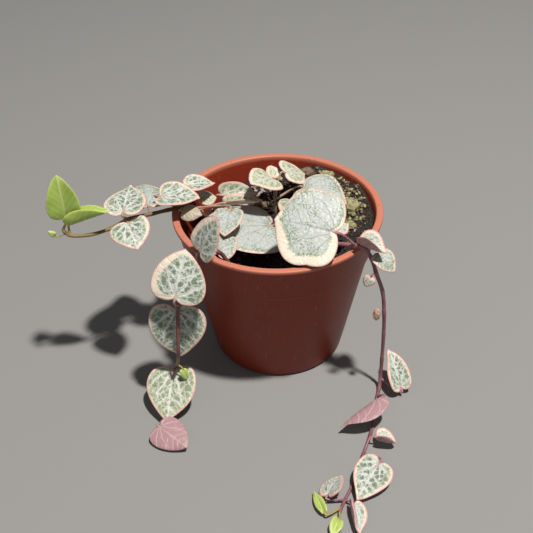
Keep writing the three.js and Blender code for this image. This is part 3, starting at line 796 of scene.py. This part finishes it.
# Stem skin: fine bumps and dark flecks, cloudy patches of a third colour, and a colour that turns from one
# end to the other.
def stemSkin(name, old, young, fleck):
    material, add = newMaterial(name)
    place = add("TexCoord", output=3)
    way = add("Attribute", output=2, attribute_name="wayAlong")
    flecks = add("TexNoise", {"Vector": place, "Scale": 1500.0, "Detail": 3.0})
    cloud = add("TexNoise", {"Vector": place, "Scale": 300.0, "Detail": 2.0})
    colour = add("Mix", {0: way, 6: old, 7: young}, **inColour)
    colour = add(
        "Mix", {0: add("MapRange", {0: cloud, 1: 0.35, 2: 0.7, 3: 0.0, 4: 0.5}), 6: colour, 7: fleck},
        **inColour,
    )
    colour = add(
        "Mix", {0: add("MapRange", {0: flecks, 1: 0.55, 2: 0.75, 3: 0.0, 4: 0.6}), 6: colour, 7: "#2f1c1a"},
        **inColour,
    )
    bump = add("Bump", {"Strength": 0.5, "Distance": 0.0001, "Height": flecks})
    surface = {"Base Color": colour, "Roughness": 0.5, "IOR": 1.45, "Normal": bump}
    return finishMaterial(material, add, surface)


# Injection moulded polypropylene: terracotta coloured, slightly waxy gloss, fine scuffs and soil dust, and a
# lip painted lighter, partly a painted highlight and partly rim wear.
def mouldedPolypropylene():
    material, add = newMaterial("mouldedPolypropylene")
    place = add("TexCoord", output=3)
    mottling = add("TexNoise", {"Vector": place, "Scale": 90.0, "Detail": 4.0})
    specks = add("TexNoise", {"Vector": place, "Scale": 900.0, "Detail": 4.0, "Roughness": 0.7})
    dust = add("TexVoronoi", {"Vector": place, "Scale": 420.0})
    stretched = add("Mapping", {"Vector": place, "Scale": (1.0, 1.0, 0.05)})
    scuffs = add("TexNoise", {"Vector": stretched, "Scale": 1400.0, "Detail": 3.0})
    colour = add("Mix", {0: mottling, 6: "#7c2a19", 7: "#8e3622"}, **inColour)
    height = add("SeparateXYZ", {0: place}, output=2)
    # painted highlight: the top of the lip is made lighter, standing in for the key light falling on it,
    # together with some rim wear
    lipHighlightAndWear = add("MapRange", {0: height, 1: potHeight - 1.5 * mm, 2: potHeight - 0.2 * mm, 3: 0.0, 4: 0.75})
    colour = add("Mix", {0: lipHighlightAndWear, 6: colour, 7: "#da8d74"}, **inColour)
    dusted = add("MapRange", {0: dust, 1: 0.05, 2: 0.12, 3: 1.3, 4: 0.0})
    colour = add(
        "Mix", {0: add("Math", {0: dusted, 1: specks}, operation="MULTIPLY"), 6: colour, 7: "#4a2a1e"},
        **inColour,
    )
    colour = add(
        "Mix", {0: add("MapRange", {0: scuffs, 1: 0.62, 2: 0.8, 3: 0.0, 4: 0.3}), 6: colour, 7: "#c98d74"},
        **inColour,
    )
    bump = add("Bump", {"Strength": 0.25, "Distance": 0.00008, "Height": specks})
    gloss = add("MapRange", {0: mottling, 3: 0.34, 4: 0.5})
    surface = {
        "Base Color": colour,
        "Roughness": gloss,
        "IOR": 1.49,
        "Specular IOR Level": 0.25,
        "Subsurface Weight": 0.08,
        "Subsurface Radius": (1.0, 0.35, 0.15),
        "Subsurface Scale": 0.001,
        "Normal": bump,
    }
    return finishMaterial(material, add, surface)


# Crumbly matter such as peat, bark or perlite: two colours by grain, and a rough broken surface.
def crumb(name, dark, light, grainSize, roughness):
    material, add = newMaterial(name)
    place = add("TexCoord", output=3)
    tone = add("Attribute", output=2, attribute_name="tone")
    grain = add("TexNoise", {"Vector": place, "Scale": 1 / grainSize, "Detail": 5.0, "Roughness": 0.7})
    blend = add("Math", {0: grain, 1: tone}, operation="MULTIPLY")
    colour = add("Mix", {0: add("MapRange", {0: blend, 1: 0.15, 2: 0.6}), 6: dark, 7: light}, **inColour)
    bump = add("Bump", {"Strength": 0.9, "Distance": 0.0003, "Height": grain})
    return finishMaterial(material, add, {"Base Color": colour, "Roughness": roughness, "Normal": bump})


pot = {
    "rimRadius": rimRadius / mm,
    "baseRadius": 20,
    "height": potHeight / mm,
    "wall": 1.0,
    "floor": 1.4,
    "chamfer": 0.8,
    "lipHeight": 1.2,
    "lipProud": 0.5,
    "collarHeight": 12,
    "collarStep": 0.4,
    "holeRadius": 2.2,
    "holeCount": 5,
    "holeCircle": 12.5,
    "sides": 160,
}
wallSlope = (pot["rimRadius"] - pot["lipProud"] - pot["baseRadius"]) / pot["height"]


def collarRadiusAt(z):
    return pot["baseRadius"] + wallSlope * z


def innerRadiusAt(z):
    return collarRadiusAt(z) - pot["collarStep"] - pot["wall"]


def makePot(material):
    top, lipFoot = pot["height"], pot["height"] - pot["lipHeight"]
    collarFoot = pot["height"] - pot["collarHeight"]
    wallFoot = pot["baseRadius"] - pot["collarStep"]
    # radius, height, and how far the corner there is rounded
    profile = [
        (0, 0, 0),
        (wallFoot - pot["chamfer"], 0, 0.4),
        (wallFoot + wallSlope * pot["chamfer"], pot["chamfer"], 0.4),
        (collarRadiusAt(collarFoot) - pot["collarStep"], collarFoot, 0.12),
        (collarRadiusAt(collarFoot + pot["collarStep"]), collarFoot + pot["collarStep"], 0.15),
        (collarRadiusAt(lipFoot), lipFoot, 0.15),
        (pot["rimRadius"], lipFoot, 0.35),
        (pot["rimRadius"], top, 0.4),
        (innerRadiusAt(top), top, 0.45),
        (innerRadiusAt(pot["floor"]), pot["floor"], 0.5),
        (0, pot["floor"], 0),
    ]
    bm = bmesh.new()
    verts = [bm.verts.new((radius * mm, 0, z * mm)) for radius, z, _ in profile]
    for pair in zip(verts, verts[1:]):
        bm.edges.new(pair)
    for vert, (_, _, rounding) in zip(verts, profile):
        if rounding:
            bmesh.ops.bevel(
                bm, geom=[vert], offset=rounding * mm, offset_type="OFFSET", segments=4, profile=0.5,
                affect="VERTICES", material=-1,
            )
    line = list(bm.verts) + list(bm.edges)
    bmesh.ops.spin(
        bm, geom=line, cent=(0, 0, 0), axis=(0, 0, 1), angle=2 * math.pi, steps=pot["sides"], use_merge=True,
    )
    bmesh.ops.remove_doubles(bm, verts=bm.verts, dist=1e-6)
    drills = []
    for i in range(pot["holeCount"]):
        turn = i * 2 * math.pi / pot["holeCount"]
        place = Vector((math.cos(turn), math.sin(turn), 0)) * pot["holeCircle"] * mm
        place.z = pot["floor"] / 2 * mm
        cutter = bmesh.new()
        bmesh.ops.create_cone(
            cutter, cap_ends=True, segments=40, radius1=pot["holeRadius"] * mm,
            radius2=pot["holeRadius"] * mm, depth=3 * pot["floor"] * mm, matrix=Matrix.Translation(place),
        )
        mesh = bpy.data.meshes.new("drill")
        cutter.to_mesh(mesh)
        cutter.free()
        drills.append(bpy.data.objects.new("drill", mesh))
        bpy.context.scene.collection.objects.link(drills[-1])
    piece = makePiece("nursery_pot", bm, [material], ["pot"])
    for drill in drills:
        cut = piece.modifiers.new("hole", "BOOLEAN")
        cut.operation = "DIFFERENCE"
        cut.object = drill
    ready = bpy.data.meshes.new_from_object(piece.evaluated_get(bpy.context.evaluated_depsgraph_get()))
    piece.modifiers.clear()
    piece.data = ready
    for drill in drills:
        bpy.data.objects.remove(drill)
    return piece


soil = {
    # the bank rises towards its turn, from lift - rise to lift + rise; shares of the rim's radius
    "turn": 35,
    "rise": 4.6,
    "lift": 1.2,
    "middle": 0.27,
    "halfWidth": 0.3,
    "ripple": 0.4,
    "skirt": 6,
    "gap": 0.3,
    "rings": 60,
    "sides": 150,
    "roughness": 0.8,
    "grains": 3000,
    "grainSize": (0.18, 0.7),
    "wallGrains": 150,  # stuck to the inside of the wall at the back left
    "wallGrainSize": (0.12, 0.4),
    "chipSize": {"bark": (0.5, 2.0), "perlite": (0.4, 1.4), "moss": (0.5, 1.9)},
}
# How many crumbs of each kind, and the middle and radius in mm of the patch that they lie in.
patches = {
    "bark": [(90, 0, 0, 28), (90, 17, 10, 14)],
    "perlite": [(110, -6, 16, 7.5), (30, 0, 0, 28)],
    "moss": [(130, 21, 6, 12), (50, 9, 20, 9)],
}


def soilHeightAt(x, y):
    turn = math.radians(soil["turn"])
    reach = (x * math.cos(turn) + y * math.sin(turn)) / pot["rimRadius"]
    bank = soil["lift"] + soil["rise"] * math.tanh((reach - soil["middle"]) / soil["halfWidth"])
    ripple = math.sin(x * 0.55 + 1) * math.cos(y * 0.5) + math.sin(x * 0.21 - y * 0.33)
    return (potHeight - soilBelowRim) / mm + bank + soil["ripple"] * ripple


def roughSoilAt(x, y):
    edge = innerRadiusAt(soilHeightAt(x, y)) - soil["gap"]
    fade = min(1, max(0, (edge - math.hypot(x, y)) / 1.5))
    lumps = noise.noise(Vector((x * 0.45, y * 0.45, 3))) + 0.6 * noise.noise(Vector((x * 1.1, y * 1.1, 9)))
    return soilHeightAt(x, y) + soil["roughness"] * lumps * (0.4 + 0.6 * fade) - 0.2


def soilEdgeTowards(turn):
    height = soilHeightAt(*(pot["rimRadius"] * 0.9 * way for way in (math.cos(turn), math.sin(turn))))
    return innerRadiusAt(height) - soil["gap"]


def addGrain(bm, layer, draw, place, size, tone, flatness):
    spin = Matrix.Rotation(draw.uniform(0, 6.3), 4, "Z") @ Matrix.Rotation(draw.uniform(0, 6.3), 4, "X")
    shape = Vector((draw.uniform(0.7, 1.3), draw.uniform(0.6, 1.1), draw.uniform(0.4, flatness))) * size * mm
    stand = Matrix.Translation(place * mm) @ spin @ Matrix.Diagonal((*shape, 1))
    made = bmesh.ops.create_icosphere(bm, subdivisions=1, radius=0.5, matrix=stand)
    for vert in made["verts"]:
        vert.co += Vector([draw.uniform(-0.12, 0.12) for _ in range(3)]) * size * mm
        vert[layer] = tone


# One grain on the soil, somewhere in the patch and clear of the wall.
def scatterGrain(bm, layer, draw, patch, size, tone, flatness, bury):
    middleX, middleY, radius = patch
    while True:
        reach, turn = radius * math.sqrt(draw.random()), draw.uniform(0, 2 * math.pi)
        x, y = middleX + reach * math.cos(turn), middleY + reach * math.sin(turn)
        if math.hypot(x, y) < soilEdgeTowards(math.atan2(y, x)) - size * 0.7:
            break
    place = Vector((x, y, roughSoilAt(x, y) + size * (0.5 - bury)))
    addGrain(bm, layer, draw, place, size, tone, flatness)


def makeSoil(materials):
    draw = random.Random(11)
    foot = pot["floor"] + soil["gap"]
    shoulder = (potHeight - soilBelowRim) / mm - soil["skirt"]
    edge = innerRadiusAt(shoulder) - soil["gap"]
    bm = bmesh.new()
    layer = bm.verts.layers.float.new("tone")
    shelf = (potHeight - soilBelowRim) / mm
    line = [(0, foot), (innerRadiusAt(foot) - soil["gap"], foot), (edge, shoulder)]
    line += [(edge * (1 - i / soil["rings"]), shelf) for i in range(soil["rings"] + 1)]
    verts = [bm.verts.new((radius * mm, 0, z * mm)) for radius, z in line]
    edges = [bm.edges.new(pair) for pair in zip(verts, verts[1:])]
    bmesh.ops.spin(
        bm, geom=verts + edges, cent=(0, 0, 0), axis=(0, 0, 1), angle=2 * math.pi, steps=soil["sides"],
        use_merge=True,
    )
    bmesh.ops.remove_doubles(bm, verts=bm.verts, dist=1e-6)
    for vert in bm.verts:
        if vert.co.z > (shelf - 0.01) * mm:
            x, y = vert.co.x / mm, vert.co.y / mm
            widening = soilEdgeTowards(math.atan2(y, x)) / edge - 1
            spread = 1 + widening * (x * x + y * y) / edge**2
            x, y = x * spread, y * spread
            vert.co = Vector((x, y, roughSoilAt(x, y) + draw.uniform(-0.08, 0.08))) * mm
        vert[layer] = 0.42
    for _ in range(soil["grains"]):
        tone = draw.choice((0.2, 0.3, 0.4, 0.5, 0.7, 1.3))
        scatterGrain(bm, layer, draw, (0, 0, 29), draw.uniform(*soil["grainSize"]), tone, 1.0, 0.25)
    for _ in range(soil["wallGrains"]):
        turn = math.radians(draw.uniform(95, 215))
        low = soilHeightAt(27 * math.cos(turn), 27 * math.sin(turn))
        z = low + (pot["height"] - 0.7 - low) * draw.random() ** 1.5
        place = Vector((math.cos(turn), math.sin(turn), 0)) * (innerRadiusAt(z) - 0.05)
        place.z = z
        size, tone = draw.uniform(*soil["wallGrainSize"]), draw.choice((0.4, 1.0, 1.8))
        addGrain(bm, layer, draw, place, size, tone, 0.8)
    makePiece("potting_soil", bm, [materials["peat"]], ["soil"])

    for kind, spots in patches.items():
        bm = bmesh.new()
        layer = bm.verts.layers.float.new("tone")
        for count, *patch in spots:
            for _ in range(count):
                size, tone = draw.uniform(*soil["chipSize"][kind]), draw.uniform(0.6, 1.6)
                scatterGrain(bm, layer, draw, patch, size, tone, 0.8, 0.3)
        makePiece(f"{kind}_crumbs", bm, [materials[kind]])


# A lump bedded in the soil, where its solid is, with a broken surface.
def makeLump(name, node, material, seed):
    low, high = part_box(node)
    centre, size = (low + high) / 2, (high - low) / 2
    bm = bmesh.new()
    layer = bm.verts.layers.float.new("tone")
    bmesh.ops.create_icosphere(bm, subdivisions=4, radius=1)
    for vert in bm.verts:
        co = vert.co
        broad = noise.noise(co * 2.1 + Vector((seed, 0, 0)))
        sharp = noise.noise(co * 6 + Vector((0, seed, 0)))
        rough = 1 + 0.16 * broad + 0.1 * sharp
        vert[layer] = 1 + 0.8 * noise.noise(co * 3 + Vector((seed, seed, 0)))
        vert.co = centre + Vector([c * s for c, s in zip(co * rough, size)])
    makePiece(name, bm, [material], [node])


camera = {
    "place": (0, -205.4, 187.4),
    "turn": (51.93, 1.0, 0.18),
    "lens": 58.8,  # on a sensor 36 mm wide
}
lights = {
    "key": dict(place=(0.2, -0.2, 0.96), size=0.05, power=11.5, colour="#fffaf4"),
    "fill": dict(place=(-0.5, -0.6, 0.6), size=0.9, power=0.4, colour="#f4f7ff"),
}


def makeStage():
    scene = bpy.context.scene
    lens = bpy.data.cameras.new("camera")
    lens.lens = camera["lens"]
    lens.clip_start = 0.01
    viewer = bpy.data.objects.new("camera", lens)
    viewer.location = Vector(camera["place"]) * mm
    viewer.rotation_euler = [math.radians(turn) for turn in camera["turn"]]
    scene.collection.objects.link(viewer)
    scene.camera = viewer
    for name, light in lights.items():
        lamp = bpy.data.lights.new(name, "AREA")
        lamp.size = light["size"]
        lamp.energy = light["power"]
        lamp.color = hexColour(light["colour"])[:3]
        lampObject = bpy.data.objects.new(name, lamp)
        lampObject.location = light["place"]
        aim = Vector((0, 0, 0.03)) - Vector(light["place"])
        lampObject.rotation_euler = aim.to_track_quat("-Z", "Y").to_euler()
        scene.collection.objects.link(lampObject)
    world = bpy.data.worlds.new("paleRoom")
    world.use_nodes = True
    world.node_tree.nodes["Background"].inputs["Color"].default_value = hexColour("#f6f7f8")
    world.node_tree.nodes["Background"].inputs["Strength"].default_value = 0.13
    scene.world = world
    scene.view_settings.view_transform = "Standard"
    bm = bmesh.new()
    bmesh.ops.create_circle(bm, cap_ends=True, segments=128, radius=3)
    mesh = bpy.data.meshes.new("paleFloor")
    bm.to_mesh(mesh)
    bm.free()
    floorDisc = bpy.data.objects.new("paleFloor", mesh)
    scene.collection.objects.link(floorDisc)
    material, add = newMaterial("paleFloor")
    finishMaterial(material, add, {"Base Color": "#939392", "Roughness": 0.9})
    mesh.materials.append(material)


makeStage()
print("stage ready")

leafMaterial = variegatedLeaf()
limeMaterial = youngLeaf()
# stem skins: purple brown where old, olive or mauve where young
stemSkins = {
    "runner": stemSkin("runnerStemSkin", "#5a352c", "#9a8a4e", "#7a5548"),
    "front_vine": stemSkin("frontStemSkin", "#6a4440", "#7b5450", "#a07a74"),
    "side_vine": stemSkin("sideStemSkin", "#94606c", "#7a4a46", "#b08490"),
    "crown_vine": stemSkin("crownStemSkin", "#6f4a46", "#8f8a5c", "#95706a"),
}
stalkSkins = {
    "runner": stemSkin("runnerStalkSkin", "#c9a898", "#a5705f", "#cbb39a"),
    "front_vine": stemSkin("frontStalkSkin", "#c9a2a0", "#9a6b66", "#d8bdb4"),
    "side_vine": stemSkin("sideStalkSkin", "#c08d98", "#86505e", "#cfa6ac"),
    "crown_vine": stemSkin("crownStalkSkin", "#bfae90", "#8f7a66", "#c9a79c"),
}
limeStalkSkin = stemSkin("limeStalkSkin", "#a8ab55", "#a58a58", "#c2bd74")

seed = 0
for vineName, vine in vines.items():
    turn = math.radians(vine["crossing"] or 0)
    crossing = Vector((rimRadius * math.cos(turn), rimRadius * math.sin(turn), 0))
    nodes = [place(crossing) for place in vine["route"]]
    growStem(f"{vineName}_stem", nodes, stemSkins[vineName], seed)
    for leafName, leaf in vine["leaves"].items():
        seed += 1
        lime = lookOf.get(f"{vineName}_{leafName}") == "lime"
        materials = [limeMaterial, limeStalkSkin] if lime else [leafMaterial, stalkSkins[vineName]]
        growLeaf(vineName, leafName, leaf, crossing, nodes, seed, materials)
    print(vineName, "grown")

makePot(mouldedPolypropylene())
print("pot ready")

crumbs = {
    "peat": crumb("peat", "#0d0a09", "#7d6c5f", 0.5 * mm, 1.0),
    "perlite": crumb("perlite", "#5f5352", "#cbbdb9", 0.3 * mm, 0.95),
    "bark": crumb("bark", "#1d1411", "#8a7460", 0.6 * mm, 0.95),
    "moss": crumb("moss", "#2f2d18", "#b5b083", 0.3 * mm, 0.95),
    "bud": crumb("swollenJoint", "#8f6a50", "#d9b5a0", 0.5 * mm, 0.6),
}
makeSoil(crumbs)
for i, node in enumerate(sorted(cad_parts)):
    kind = node.rsplit("_", 1)[0]
    if kind in ("perlite", "bark", "moss"):
        makeLump(f"{kind}_lump_{node[-1]}", node, crumbs[kind], i)
makeLump("side_vine_swollen_joint", "side_vine_bud", crumbs["bud"], 40)
print("soil ready")
